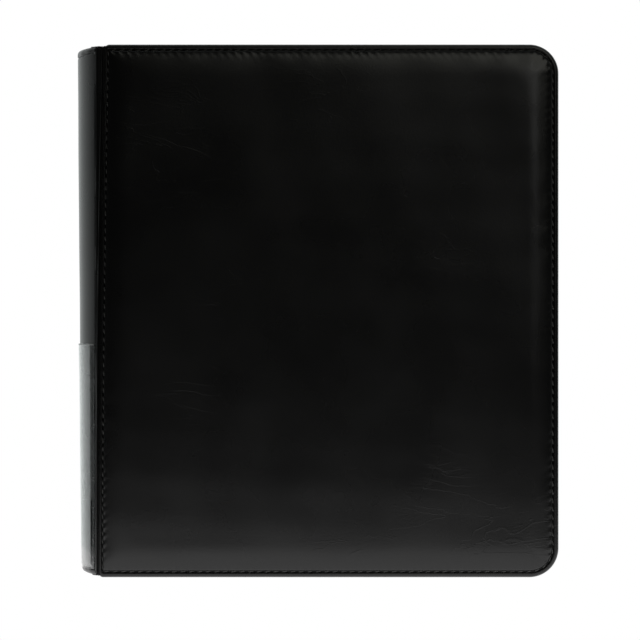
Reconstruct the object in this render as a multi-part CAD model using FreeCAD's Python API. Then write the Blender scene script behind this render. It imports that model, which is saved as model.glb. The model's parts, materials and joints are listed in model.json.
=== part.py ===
"""Padded leatherette ring binder, closed and standing on its bottom edge.

X runs from the spine (-X) to the fore edge (+X), the front cover faces -Y and +Z is up.
The origin is at the middle of the footprint. All sizes are in millimetres.

Three bodies fold along two leatherette hinges: the rear cover, the spine and the front cover.
The rear cover carries a three-ring mechanism, made of an arched housing, two rails that snap
past each other, three split rings and a lever at each end.
"""
import FreeCAD, Part
import math
import os
from FreeCAD import Vector

# ---- covers ----------------------------------------------------------------------------------
cover_width = 251.0          # hinge-side edge to fore edge
cover_height = 292.0         # for sheets 279.4 high
fore_corner_radius = 16.0    # the two corners at the fore edge
hinge_corner_radius = 2.5    # the two corners beside the spine
page_gap = 46.0              # lining to lining

skin_t = 0.8                 # leatherette with its backing cloth
board_t = 2.5                # chipboard
foam_t = 4.2                 # padding over the board
lining_t = 0.5
turn_in = 14.0               # skin glued round onto the inner face of the board
lining_inset = 3.0           # lining edge from the edge of the cover

pad_inset = 6.2              # edge of the cover to the edge of the foam
pad_inset_hinge = 4.7        # the same beside the spine
pad_edge_drop = 0.3          # square foot left below the rounded edge of the foam
stitch_inset = 4.0           # edge of the cover to the seam
stitch_inset_hinge = 2.5
thread_w = 0.7
thread_proud = 0.3

pocket_sheet_t = 0.4         # inside pockets
pocket_slack = 0.3
pocket_weld = 4.0
pocket_height = 172.0
pocket_foot = 6.0            # pocket above the bottom of the cover
pocket_fore_inset = 8.0
front_pocket_start = 14.0    # hinge-side edge of the front cover to its pocket
rear_pocket_clear = 12.0     # ring housing to the rear pocket

# ---- spine and hinges ------------------------------------------------------------------------
hinge_gap = 2.0              # hinge-side edge of a cover to the fold line
fold_gap = 0.3               # cover side of the skin to the fold line
spine_skin_gap = 1.3         # spine side of the skin to the fold line, along the arc
spine_bulge = 10.5           # how far the spine arches past the fold lines
spine_short = 0.8            # spine below the top of the covers, and above their bottom
spine_board_t = 2.0
spine_foam_t = 2.5
spine_pad_gap = 6.0          # foam and board to the fold line, along the arc
spine_lining_gap = 4.0

# ---- label pocket on the lower spine ---------------------------------------------------------
film_t = 0.25
film_slack = 0.3
film_gap = 2.0               # film to the fold line, along the arc
film_weld = 2.5
film_bottom = 4.5
film_top = 128.0
card_t = 0.26
card_side_clear = 0.6
card_height = 35.0

# ---- ring mechanism --------------------------------------------------------------------------
ring_pitch = 107.95          # 4 1/4 in between punched holes
ring_count = 3
wire_r = 1.7
ring_cover_clear = 3.3       # top of a shut ring to the front lining
ring_join_u = 1.5            # where the two halves meet, from the middle of the housing
ring_join_gap = 0.2
ring_root_u = 4.6            # feet of the ring from the middle of the housing
post_lean = 80.0             # degrees, straight side of the D
bow_lean = 128.0             # degrees, foot of the bowed side
corner_bend_r = 8.0
mechanism_inset = 34.0       # hinge-side edge of the cover to the middle of the housing

housing_w = 24.0
housing_h = 8.0
housing_t = 1.0
housing_length = 262.0
notch_inner_u = 2.3
notch_floor = 3.6
notch_clear = 0.6            # each side of the wire
lever_notch_half = 4.3
lever_notch_floor = 3.0

rail_t = 1.0
rail_pivot_u = 7.1
rail_pivot_v = 3.8
rail_rest_tilt = 8.0         # degrees, inner edges down while the rings are shut
rail_mid_gap = 0.35
rail_end_clear = 6.5         # lever pin to the end of a rail
rivet_clear_r = 3.0          # cut in the rails round each rivet

rivet_pitch = 190.0
rivet_r = 2.0
rivet_head_r = 3.8
rivet_head_h = 1.3
rivet_clear = 0.05
washer_r = 5.5
washer_t = 0.6
clinch_r = 3.2
clinch_h = 0.8
washer_pocket_clear = 0.4

pin_inset = 5.0              # end of the housing to the lever pin
pin_v = 4.2
pin_r = 1.0
pin_running_clear = 0.05
lever_hub_r = 1.9
lever_hub_half = 3.1
lever_plate_t = 1.6
lever_half = 7.0
lever_nose = 4.3
lever_knee = (6.6, 6.8)      # outward and up from the pin
lever_tip = (10.0, 15.5)
lever_wide_from = 6.2        # outward from the pin, clear of the end of the housing

# ---- worked-out places -----------------------------------------------------------------------
half_gap = page_gap / 2
ring_height = page_gap - ring_cover_clear - wire_r   # rear lining to the wire's middle at the top
turn_depth = lining_t + skin_t            # depths run outward from the inner face of a cover
board_depth = turn_depth + board_t
rim_depth = board_depth + skin_t
cover_depth = rim_depth + foam_t
fold_y = half_gap + rim_depth - skin_t / 2
film_depth = film_slack + film_t

total_width = cover_width + hinge_gap + spine_bulge + skin_t / 2 + film_depth
fore_x = total_width / 2
edge_x = fore_x - cover_width
fold_x = edge_x - hinge_gap

spine_r = (fold_y ** 2 + spine_bulge ** 2) / (2 * spine_bulge)
spine_centre_x = fold_x - spine_bulge + spine_r
spine_half_angle = math.asin(fold_y / spine_r)
spine_z0 = spine_short
spine_z1 = cover_height - spine_short

mech_x = edge_x + mechanism_inset
mid_z = cover_height / 2
housing_r = ((housing_w / 2) ** 2 + housing_h ** 2) / (2 * housing_h)
housing_centre_v = housing_h - housing_r
ring_levels = [mid_z + ring_pitch * (i - (ring_count - 1) / 2) for i in range(ring_count)]
rivet_levels = [mid_z - rivet_pitch / 2, mid_z + rivet_pitch / 2]
pin_reach = housing_length / 2 - pin_inset


# ---- helpers ---------------------------------------------------------------------------------
def export(shape, node):
    """Write one sub-part."""
    if not shape.isValid() or shape.Volume <= 0:
        raise ValueError("bad solid: " + node)
    shape.exportStep("parts/" + node + ".step")
    box = shape.BoundBox
    print("%-22s %10.1f mm3  x %.1f..%.1f  y %.1f..%.1f  z %.1f..%.1f"
          % (node, shape.Volume, box.XMin, box.XMax, box.YMin, box.YMax, box.ZMin, box.ZMax))


def rounded_outline(x0, x1, z0, z1, r_hinge, r_fore, y):
    """Closed wire of a rectangle in the XZ plane with its own radius on each side."""
    corners = [(x0, z0, r_hinge), (x1, z0, r_fore), (x1, z1, r_fore), (x0, z1, r_hinge)]
    signs = [(1, 1), (-1, 1), (-1, -1), (1, -1)]
    ends = []
    for (cx, cz, r), (sx, sz) in zip(corners, signs):
        along_x = Vector(cx + sx * r, y, cz)
        along_z = Vector(cx, y, cz + sz * r)
        k = r * (1 - math.sqrt(0.5))
        middle = Vector(cx + sx * k, y, cz + sz * k)
        order = (along_z, middle, along_x) if sx == sz else (along_x, middle, along_z)
        ends.append((order, r))
    edges = []
    for i, (arc, r) in enumerate(ends):
        if r > 0:
            edges.append(Part.Arc(*arc).toShape())
        nearest = ends[(i + 1) % 4][0][0]
        edges.append(Part.LineSegment(arc[2], nearest).toShape())
    return Part.Wire(edges)


def slab(inset, inset_hinge, depth0, depth1):
    """Plate of the front cover: its outline set in from the cover's edge, between two depths."""
    r_hinge = max(hinge_corner_radius - inset_hinge, 0.5)
    r_fore = fore_corner_radius - inset
    wire = rounded_outline(edge_x + inset_hinge, fore_x - inset, inset, cover_height - inset,
                           r_hinge, r_fore, -(half_gap + depth0))
    return Part.Face(wire).extrude(Vector(0, depth0 - depth1, 0))


def domed(plate, radius):
    """Round the outward rim of a plate of the front cover."""
    outer_y = plate.BoundBox.YMin
    rim = [e for e in plate.Edges if abs(e.BoundBox.YMax - outer_y) < 1e-6]
    return plate.makeFillet(radius, rim)


def to_rear(shape):
    """Mirror a piece of the front cover into the rear cover."""
    return shape.mirror(Vector(0, 0, 0), Vector(0, 1, 0))


def arc_slab(r0, r1, gap, z0, z1):
    """Curved plate of the spine between two radii, ending `gap` short of both fold lines."""
    half = spine_half_angle - gap / spine_r

    def at(r, a):
        return Vector(spine_centre_x - r * math.cos(a), r * math.sin(a), z0)

    outer = Part.Arc(at(r1, -half), at(r1, 0), at(r1, half)).toShape()
    inner = Part.Arc(at(r0, half), at(r0, 0), at(r0, -half)).toShape()
    rear = Part.LineSegment(at(r1, half), at(r0, half)).toShape()
    front = Part.LineSegment(at(r0, -half), at(r1, -half)).toShape()
    return Part.Face(Part.Wire([outer, rear, inner, front])).extrude(Vector(0, 0, z1 - z0))


def mech(u, v, z):
    """Point of the mechanism: u across the housing, v up from the rear lining."""
    return Vector(mech_x + u, half_gap - v, z)


def mech_box(u0, u1, v0, v1, z0, z1):
    corner = mech(u0, v1, z0)
    return Part.makeBox(u1 - u0, v1 - v0, z1 - z0, corner)


def heading(degrees):
    return math.cos(math.radians(degrees)), math.sin(math.radians(degrees))


# ---- covers ----------------------------------------------------------------------------------
def make_board():
    return slab(skin_t, skin_t, turn_depth, board_depth)


def make_pad():
    plate = slab(pad_inset, pad_inset_hinge, board_depth, board_depth + foam_t)
    return domed(plate, foam_t - pad_edge_drop)


def make_lining():
    """Sheet over the turned-in skin, with the paper filler that levels the middle."""
    sheet = slab(lining_inset, lining_inset, 0, lining_t)
    filler = slab(turn_in, turn_in, lining_t, turn_depth)
    return sheet.fuse(filler).removeSplitter()


def make_cover_skin(board, pad):
    """Leatherette over foam and board, turned in at the back, with its half of the fold."""
    wrap = slab(0, 0, lining_t, rim_depth)
    dome_plate = slab(pad_inset - skin_t, pad_inset_hinge - skin_t, board_depth, cover_depth)
    dome = domed(dome_plate, foam_t + skin_t - pad_edge_drop)
    fold_width = hinge_gap - fold_gap + skin_t
    fold = Part.makeBox(fold_width, skin_t, spine_z1 - spine_z0,
                        Vector(fold_x + fold_gap, -(half_gap + rim_depth), spine_z0))
    window = slab(turn_in, turn_in, lining_t, turn_depth)
    outer = wrap.fuse(dome).fuse(fold)
    return outer.cut(board).cut(pad).cut(window).removeSplitter()


def make_stitching():
    """One thread loop lying in the seam of the front cover."""
    half = thread_w / 2
    top = rim_depth + thread_proud
    ring = slab(stitch_inset - half, stitch_inset_hinge - half, rim_depth, top)
    return ring.cut(slab(stitch_inset + half, stitch_inset_hinge + half, rim_depth, top))


def make_pocket(x_start):
    """Inside pocket of the front cover, welded on three sides and open at the top."""
    x1 = fore_x - pocket_fore_inset
    z0 = pocket_foot
    z1 = pocket_foot + pocket_height
    thick = pocket_sheet_t + pocket_slack
    sheet = Part.makeBox(x1 - x_start, thick, z1 - z0, Vector(x_start, -half_gap, z0))
    inside = Part.makeBox(x1 - x_start - 2 * pocket_weld, pocket_slack, z1 - z0,
                          Vector(x_start + pocket_weld, -half_gap, z0 + pocket_weld))
    return sheet.cut(inside)


# ---- spine -----------------------------------------------------------------------------------
def make_spine():
    r_skin = spine_r - skin_t / 2
    r_foam = r_skin - spine_foam_t
    r_board = r_foam - spine_board_t
    export(arc_slab(r_skin, r_skin + skin_t, spine_skin_gap, spine_z0, spine_z1), "spine_skin")
    export(arc_slab(r_foam, r_skin, spine_pad_gap, spine_z0, spine_z1), "spine_foam_pad")
    export(arc_slab(r_board, r_foam, spine_pad_gap, spine_z0, spine_z1), "spine_board")
    export(arc_slab(r_board - lining_t, r_board, spine_lining_gap, spine_z0, spine_z1), "spine_lining")


def make_label_pocket():
    """Clear film welded to the spine at its sides and foot, with a blank card in it."""
    r_face = spine_r + skin_t / 2
    floor = film_bottom + film_weld
    side = film_gap + film_weld
    film = arc_slab(r_face, r_face + film_depth, film_gap, film_bottom, film_top)
    film = film.cut(arc_slab(r_face, r_face + film_slack, side, floor, film_top))
    gap = (film_slack - card_t) / 2
    card = arc_slab(r_face + gap, r_face + gap + card_t, side + card_side_clear, floor, floor + card_height)
    export(film, "spine_label_pocket")
    export(card, "spine_label_card")


# ---- ring mechanism --------------------------------------------------------------------------
def make_housing():
    """Arched steel channel, notched for the rings and levers and drilled for rivets and pins."""
    inner_r = housing_r - housing_t
    inner_half = math.sqrt(inner_r ** 2 - housing_centre_v ** 2)
    z0 = mid_z - housing_length / 2
    outer = Part.Arc(mech(-housing_w / 2, 0, z0), mech(0, housing_h, z0), mech(housing_w / 2, 0, z0))
    inner = Part.Arc(mech(inner_half, 0, z0), mech(0, housing_h - housing_t, z0), mech(-inner_half, 0, z0))
    right = Part.LineSegment(mech(housing_w / 2, 0, z0), mech(inner_half, 0, z0))
    left = Part.LineSegment(mech(-inner_half, 0, z0), mech(-housing_w / 2, 0, z0))
    wire = Part.Wire([outer.toShape(), right.toShape(), inner.toShape(), left.toShape()])
    housing = Part.Face(wire).extrude(Vector(0, 0, housing_length))
    notch_half = wire_r + notch_clear
    for z in ring_levels:
        for u0, u1 in ((notch_inner_u, housing_w / 2), (-housing_w / 2, -notch_inner_u)):
            notch = mech_box(u0, u1, notch_floor, housing_h + 1, z - notch_half, z + notch_half)
            housing = housing.cut(notch)
    for z in rivet_levels:
        hole = Part.makeCylinder(rivet_r + rivet_clear, housing_h + 2, mech(0, housing_h + 1, z), Vector(0, 1, 0))
        housing = housing.cut(hole)
    lever_slot = housing_length / 2 - pin_reach + pin_r + lever_hub_r
    for end in (-1, 1):
        z_end = mid_z + end * housing_length / 2
        z_in = z_end - end * lever_slot
        slot = mech_box(-lever_notch_half, lever_notch_half, lever_notch_floor, housing_h + 1,
                        min(z_end, z_in), max(z_end, z_in))
        housing = housing.cut(slot)
        pin_hole = Part.makeCylinder(pin_r, housing_w, mech(-housing_w / 2, pin_v, mid_z + end * pin_reach),
                                     Vector(1, 0, 0))
        housing = housing.cut(pin_hole)
    return housing


def make_pin(end):
    """Lever pin, its ends flush with the outside of the housing."""
    outer_half = math.sqrt(housing_r ** 2 - (pin_v + pin_r - housing_centre_v) ** 2)
    return Part.makeCylinder(pin_r, 2 * outer_half, mech(-outer_half, pin_v, mid_z + end * pin_reach),
                             Vector(1, 0, 0))


def make_rivet(z):
    """Headed post through housing, lining and board, clinched over its washer."""
    length = housing_h + board_depth + washer_t
    post = Part.makeCylinder(rivet_r, length, mech(0, housing_h, z), Vector(0, 1, 0))
    seat_v = math.sqrt(housing_r ** 2 - rivet_head_r ** 2) + housing_centre_v
    head = Part.makeCylinder(rivet_head_r, rivet_head_h + housing_h - seat_v,
                             mech(0, housing_h + rivet_head_h, z), Vector(0, 1, 0))
    top = [e for e in head.Edges if abs(e.BoundBox.YMax - head.BoundBox.YMin) < 1e-6]
    head = head.makeFillet(rivet_head_h * 0.8, top)
    arch = Part.makeCylinder(housing_r, 4 * rivet_head_r, mech(0, housing_centre_v, z - 2 * rivet_head_r),
                             Vector(0, 0, 1))
    clinch = Part.makeCylinder(clinch_r, clinch_h, mech(0, -board_depth - washer_t, z), Vector(0, 1, 0))
    return head.cut(arch).fuse(post).fuse(clinch).removeSplitter()


def make_washer(z):
    disc = Part.makeCylinder(washer_r, washer_t, mech(0, -board_depth, z), Vector(0, 1, 0))
    return disc.cut(Part.makeCylinder(rivet_r + rivet_clear, washer_t, mech(0, -board_depth, z), Vector(0, 1, 0)))


def drill_for_rivets(shape, radius, v_top, v_bottom):
    """Cut the two rivet holes through a piece of the rear cover."""
    for z in rivet_levels:
        shape = shape.cut(Part.makeCylinder(radius, v_top - v_bottom, mech(0, v_top, z), Vector(0, 1, 0)))
    return shape


def rail_frame(side):
    """Directions along and across a shut rail, from its pivot toward the middle."""
    c, s = heading(rail_rest_tilt)
    return (-side * c, -s), (-side * s, c)


def make_rail(side):
    """Steel strip with a rounded outer edge that it rocks on, cut back round the rivets."""
    along, across = rail_frame(side)
    length = (rail_pivot_u - rail_mid_gap) / heading(rail_rest_tilt)[0]
    z0 = mid_z - pin_reach + rail_end_clear
    span = 2 * (pin_reach - rail_end_clear)
    half = rail_t / 2

    def at(a, b):
        u = side * rail_pivot_u + a * along[0] + b * across[0]
        return mech(u, rail_pivot_v + a * along[1] + b * across[1], z0)

    edges = [
        Part.LineSegment(at(0, half), at(length, half)).toShape(),
        Part.LineSegment(at(length, half), at(length, -half)).toShape(),
        Part.LineSegment(at(length, -half), at(0, -half)).toShape(),
        Part.Arc(at(0, -half), at(-half, 0), at(0, half)).toShape(),
    ]
    rail = Part.Face(Part.Wire(edges)).extrude(Vector(0, 0, span))
    for z in rivet_levels:
        rail = rail.cut(Part.makeCylinder(rivet_clear_r, housing_h, mech(0, housing_h, z), Vector(0, 1, 0)))
    return rail


def turn(point, a, b, r, clockwise):
    """End and middle of an arc that turns a path from heading a to heading b."""
    sign = 1 if clockwise else -1

    def after(to):
        du = r * (math.sin(math.radians(a)) - math.sin(math.radians(to)))
        dv = r * (math.cos(math.radians(to)) - math.cos(math.radians(a)))
        return point[0] + sign * du, point[1] + sign * dv

    return after((a + b) / 2), after(b)


def bow_path(v0):
    """Bowed half: a leaning foot and one arc that comes level where the halves meet."""
    c, s = heading(bow_lean)
    reach = ring_join_u + ring_root_u
    rise = ring_height - v0
    r = (rise * c - reach * s) / ((1 - c) * c - s * s)
    foot = (rise - r * (1 - c)) / s
    start = (-ring_root_u, v0)
    knee = (start[0] + foot * c, start[1] + foot * s)
    middle, end = turn(knee, bow_lean, 0, r, True)
    return [("line", start, knee), ("arc", knee, middle, end)]


def post_path(v0):
    """Straight half: a slightly leaning post, a tight corner and a short level run."""
    c, s = heading(post_lean)
    length = (ring_height - v0 - corner_bend_r * (1 + c)) / s
    start = (ring_root_u, v0)
    knee = (start[0] + length * c, start[1] + length * s)
    middle, end = turn(knee, post_lean, 180, corner_bend_r, False)
    tip = (ring_join_u + ring_join_gap, ring_height)
    return [("line", start, knee), ("arc", knee, middle, end), ("line", end, tip)]


def make_ring_half(side, z):
    """Wire along its path, its foot cut flush with the top of the rail."""
    along, across = rail_frame(side)
    reach = (rail_pivot_u - ring_root_u) / heading(rail_rest_tilt)[0]
    v0 = rail_pivot_v - reach * heading(rail_rest_tilt)[1]
    path = post_path(v0) if side > 0 else bow_path(v0)
    edges = []
    for kind, *points in path:
        ends = [mech(u, v, z) for u, v in points]
        curve = Part.LineSegment(*ends) if kind == "line" else Part.Arc(*ends)
        edges.append(curve.toShape())
    first = edges[0].Vertexes[0].Point
    direction = edges[0].Vertexes[-1].Point.sub(first)
    profile = Part.Wire([Part.makeCircle(wire_r, first, direction)])
    wire = Part.Wire(edges).makePipeShell([profile], True, True)
    below = 3 * wire_r
    lowered = Part.makeBox(4 * below, below, 4 * below, Vector(-2 * below, 0, -2 * below))
    lowered.rotate(Vector(0, 0, 0), Vector(0, 0, 1), -side * rail_rest_tilt)
    top = mech(side * ring_root_u + across[0] * rail_t / 2, v0 + across[1] * rail_t / 2, z)
    lowered.translate(top)
    return wire.cut(lowered)


def make_lever(end):
    """Stamped lever: a hub on the pin, a nose under the rails and a wide thumb plate outside."""
    z_pin = mid_z + end * pin_reach

    def at(s, v):
        return mech(0, pin_v + v, z_pin + end * s)

    def plate(points, half):
        wire = Part.makePolygon([at(s, v) for s, v in points] + [at(*points[0])])
        face = Part.Face(wire)
        face.translate(Vector(-half, 0, 0))
        return face.extrude(Vector(2 * half, 0, 0))

    def bar(p, q, half):
        """Flat bar of the plate thickness from p to q."""
        length = math.hypot(q[0] - p[0], q[1] - p[1])
        n = (-(q[1] - p[1]) / length * lever_plate_t / 2, (q[0] - p[0]) / length * lever_plate_t / 2)
        corners = [(p[0] + n[0], p[1] + n[1]), (q[0] + n[0], q[1] + n[1]),
                   (q[0] - n[0], q[1] - n[1]), (p[0] - n[0], p[1] - n[1])]
        return plate(corners, half)

    def rod(p, half):
        return Part.makeCylinder(lever_plate_t / 2, 2 * half, at(*p).add(Vector(-half, 0, 0)), Vector(1, 0, 0))

    hub = Part.makeCylinder(lever_hub_r, 2 * lever_hub_half, at(0, 0).add(Vector(-lever_hub_half, 0, 0)),
                            Vector(1, 0, 0))
    nose = bar((0, -0.4), (-lever_nose, -1.2), lever_hub_half)
    arm = bar((0, 0), lever_knee, lever_hub_half)
    share = lever_wide_from / lever_knee[0]
    shoulder = (lever_wide_from, lever_knee[1] * share)
    blade = bar(lever_knee, lever_tip, lever_half)
    wide = bar(shoulder, lever_knee, lever_half)
    lever = hub.fuse([nose, arm, wide, blade, rod(lever_knee, lever_half), rod(lever_tip, lever_half)])
    bore = Part.makeCylinder(pin_r + pin_running_clear, housing_w, at(0, 0).add(Vector(-housing_w / 2, 0, 0)),
                             Vector(1, 0, 0))
    return lever.cut(bore).removeSplitter()


# ---- build -----------------------------------------------------------------------------------
def build_covers():
    board = make_board()
    pad = make_pad()
    lining = make_lining()
    skin = make_cover_skin(board, pad)
    stitching = make_stitching()
    export(board, "front_board")
    export(pad, "front_foam_pad")
    export(lining, "front_lining")
    export(skin, "front_skin")
    export(stitching, "front_stitching")
    export(make_pocket(edge_x + front_pocket_start), "front_pocket")

    clearance_r = rivet_r + rivet_clear
    rear_board = drill_for_rivets(to_rear(board), clearance_r, 0, -board_depth)
    rear_lining = drill_for_rivets(to_rear(lining), clearance_r, 0, -turn_depth)
    pocket_depth = washer_t + clinch_h + washer_pocket_clear
    rear_pad = drill_for_rivets(to_rear(pad), washer_r + washer_pocket_clear,
                                -board_depth, -board_depth - pocket_depth)
    export(rear_board, "rear_board")
    export(rear_pad, "rear_foam_pad")
    export(rear_lining, "rear_lining")
    export(to_rear(skin), "rear_skin")
    export(to_rear(stitching), "rear_stitching")
    export(to_rear(make_pocket(mech_x + housing_w / 2 + rear_pocket_clear)), "rear_pocket")


def build_mechanism():
    export(make_housing(), "ring_housing")
    export(Part.makeCompound([make_rivet(z) for z in rivet_levels]), "housing_rivets")
    export(Part.makeCompound([make_washer(z) for z in rivet_levels]), "rivet_washers")
    for name, end in (("bottom", -1), ("top", 1)):
        export(make_pin(end), name + "_lever_pin")
        export(make_lever(end), name + "_lever")
    for hand, side in (("left", -1), ("right", 1)):
        export(make_rail(side), hand + "_ring_rail")
        for name, z in zip(("bottom", "middle", "top"), ring_levels):
            export(make_ring_half(side, z), hand + "_ring_" + name)


os.makedirs("parts", exist_ok=True)
build_covers()
make_spine()
make_label_pocket()
build_mechanism()
print("fold lines at x %.3f, y +-%.3f; mechanism at x %.3f" % (fold_x, fold_y, mech_x))
print("rail pivots at u +-%.2f, y %.2f; lever pins at y %.2f, z %.2f and %.2f"
      % (rail_pivot_u, half_gap - rail_pivot_v, half_gap - pin_v, mid_z - pin_reach, mid_z + pin_reach))
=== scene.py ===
# %% [markdown]
# # A padded leatherette ring binder
# The binder is a sandwich: chipboard covers, foam over them, and a black leatherette skin that is
# stitched down all round. The board, rings and rails come from the engineering model, and here
# they get their finishes. The soft parts, which that model holds only as plain solids, are built
# again as surfaces worked out with numpy.

# %% Load the frame
import json
import bpy
import numpy as np
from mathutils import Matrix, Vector


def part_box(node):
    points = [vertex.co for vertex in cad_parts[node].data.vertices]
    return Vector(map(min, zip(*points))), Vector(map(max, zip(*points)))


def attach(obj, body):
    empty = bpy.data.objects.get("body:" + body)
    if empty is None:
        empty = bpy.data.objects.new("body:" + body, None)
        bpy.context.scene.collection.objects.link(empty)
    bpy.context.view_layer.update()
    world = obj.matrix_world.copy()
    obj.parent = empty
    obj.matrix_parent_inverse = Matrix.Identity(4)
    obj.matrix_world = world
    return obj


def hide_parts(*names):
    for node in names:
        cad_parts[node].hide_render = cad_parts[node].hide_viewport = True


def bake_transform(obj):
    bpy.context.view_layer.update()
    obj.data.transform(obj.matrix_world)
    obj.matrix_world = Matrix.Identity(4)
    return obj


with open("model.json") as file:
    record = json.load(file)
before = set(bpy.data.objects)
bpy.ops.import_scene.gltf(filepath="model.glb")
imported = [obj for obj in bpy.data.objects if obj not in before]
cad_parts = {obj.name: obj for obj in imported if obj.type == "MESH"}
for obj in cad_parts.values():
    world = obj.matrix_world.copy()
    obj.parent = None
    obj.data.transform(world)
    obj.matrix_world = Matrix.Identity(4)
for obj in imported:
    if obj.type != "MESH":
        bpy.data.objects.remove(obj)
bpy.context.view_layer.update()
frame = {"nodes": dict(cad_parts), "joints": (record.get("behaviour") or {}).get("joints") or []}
MM = 0.001

# %% [markdown]
# ## Sizes
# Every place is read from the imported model, so the soft parts meet the hard ones by themselves.
# Only sizes that the model can't hold, such as a stitch, are chosen here. All are in millimetres,
# and *depth* runs outward from the inner face of a cover.

# %% Read the sizes
def box_mm(node):
    """Lowest and highest corner of a node, in millimetres."""
    low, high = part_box(node)
    return np.array(low) / MM, np.array(high) / MM


skin_low, skin_high = box_mm("front_skin")
board_low, board_high = box_mm("front_board")
lining_high = box_mm("front_lining")[1]
spine_low, spine_high = box_mm("spine_skin")
hinge = {j["name"]: j for j in frame["joints"]}
fold = np.array(hinge["front_hinge"]["pos_m"]) / MM

inner_y = lining_high[1]                      # inner face of the front cover, negative
board_in = inner_y - board_high[1]            # depths of the board
board_out = inner_y - board_low[1]
skin_t = skin_high[0] - board_high[0]
edge_x = board_low[0] - skin_t
fore_x = skin_high[0]
height = skin_high[2]
rim = board_out + skin_t
full = inner_y - skin_low[1]
lining_t = inner_y - skin_high[1]
print("cover %.1f x %.1f, rim depth %.1f, full depth %.1f" % (fore_x - edge_x, height, rim, full))

# %% [markdown]
# ## Meshes from arrays
# A surface is a grid of points. The helpers below join the grid's points into four-sided faces and
# hand whole arrays to Blender, which is quick even for a hundred thousand points.

# %% Mesh helpers
def grid_faces(rows, columns, wrap=False, start=0):
    """Quads between the points of a rows x columns grid, numbered row by row."""
    r = np.arange(rows - 1)[:, None]
    c = np.arange(columns if wrap else columns - 1)[None, :]
    n = (c + 1) % columns
    quads = np.stack([r * columns + c, r * columns + n, (r + 1) * columns + n, (r + 1) * columns + c], -1)
    return quads.reshape(-1, 4) + start


def enclosed(points, quads):
    """Signed volume inside quads: the sum of the tetrahedra from the origin to each triangle."""
    a, b, c, d = (np.asarray(points)[quads[:, k]] for k in range(4))
    return (np.einsum("ij,ij->i", a, np.cross(b, c)) + np.einsum("ij,ij->i", a, np.cross(c, d))).sum() / 6


def add_mesh(name, points_mm, quads, caps=(), smooth=True, solid=False):
    """New object at the origin from points in millimetres, quads and a few larger caps.

    For a solid, the faces are turned over if they would enclose a negative volume."""
    quads = np.asarray(quads)
    if solid and enclosed(np.asarray(points_mm) - np.mean(points_mm, axis=0), quads) < 0:
        quads = quads[:, ::-1]
        caps = [c[::-1] for c in caps]
    mesh = bpy.data.meshes.new(name)
    faces = [tuple(f) for f in quads.tolist()] + [tuple(c) for c in caps]
    mesh.from_pydata((np.asarray(points_mm) * MM).tolist(), [], faces)
    mesh.update()
    mesh.polygons.foreach_set("use_smooth", np.full(len(mesh.polygons), smooth))
    obj = bpy.data.objects.new(name, mesh)
    bpy.context.scene.collection.objects.link(obj)
    return obj


def boundary(rows, columns):
    """Indices round the outside of a grid, starting at its first corner."""
    n = np.arange(rows * columns).reshape(rows, columns)
    return np.concatenate([n[:-1, 0], n[-1, :-1], n[:0:-1, -1], n[0, :0:-1]])


def shell(name, outer, inner):
    """Closed thick sheet from two grids of points, joined by a strip of quads round their edge."""
    rows, columns = outer.shape[:2]
    total = rows * columns
    loop = boundary(rows, columns)
    after = np.roll(loop, -1)
    faces = np.concatenate([grid_faces(rows, columns)[:, ::-1], grid_faces(rows, columns, start=total),
                            np.stack([after, loop, loop + total, after + total], -1)])
    return add_mesh(name, np.concatenate([outer.reshape(-1, 3), inner.reshape(-1, 3)]), faces, solid=True)


def smoothstep(t):
    """Soft step from 0 to 1: three t squared less two t cubed, held at both ends."""
    t = np.clip(t, 0, 1)
    return t * t * (3 - 2 * t)


print("mesh helpers ready; a 2 x 2 grid has", len(grid_faces(2, 2)), "face")

# %% [markdown]
# ## Cover outline
# A cover is square beside the spine and rounded at the fore edge. Its surface is a grid whose lines
# run parallel to the edges, so rim, seam and shoulder follow the outline. Each square ring of the
# grid is bent onto a rounded rectangle: near a corner, the distance along the side is turned into
# an angle on the arc.

# %% Grid of a cover
CORNER_FORE = 16.0
CORNER_HINGE = 2.5
SEAM = 3.3                    # from the edge, and nearer beside the spine
SEAM_HINGE = 2.2
LEAN_TOP = 2.3                # the soft hinge lets the hinge-side edge lean in at the top
LEAN_FOOT = -1.1              # and out at the foot
LEAN_POWER = 1.7

edge_steps = np.array([0, .4, .9, 1.4, 1.9, 2.3, 2.6, 2.9, 3.1, 3.3, 3.5, 3.7, 3.9, 4.15, 4.45,
                       4.85, 5.4, 6.2])
shoulder_steps = np.arange(7.3, 24.0, 1.15)
insets = np.concatenate([edge_steps, shoulder_steps])


def grid_lines(length, first, last, step):
    """Line places across a panel: the given insets at both ends and even steps between."""
    middle_start, middle_end = first[-1], length - last[-1]
    count = int(round((middle_end - middle_start) / step))
    middle = np.linspace(middle_start, middle_end, count + 1)[1:-1]
    return np.concatenate([first, middle, length - last[::-1]])


hinge_insets = insets * np.interp(insets, [0, SEAM, 24.0], [SEAM_HINGE / SEAM, SEAM_HINGE / SEAM, 1.0])
COVER_STEP = 1.15
lines_x = grid_lines(fore_x - edge_x, hinge_insets, insets, COVER_STEP)
lines_z = grid_lines(height, insets, insets, COVER_STEP)
print("cover grid:", len(lines_x), "by", len(lines_z))


def bend_corner(along, across, radius):
    """Move a point on the two sides of a square corner onto its arc.

    along and across are distances from the corner; the nearer-to-zero one is the ring's own side.
    The angle from the start of the arc is 45 degrees times (1 - distance / radius)."""
    r = np.maximum(radius, 1e-6)
    angle = np.pi / 4 * (1 - np.clip(along / r, 0, 1))
    inside = (along < r) & (radius > 1e-3)
    new_along = np.where(inside, r - r * np.sin(angle), along)
    new_across = np.where(inside, across + r - r * np.cos(angle), across)
    return new_along, new_across


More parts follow.
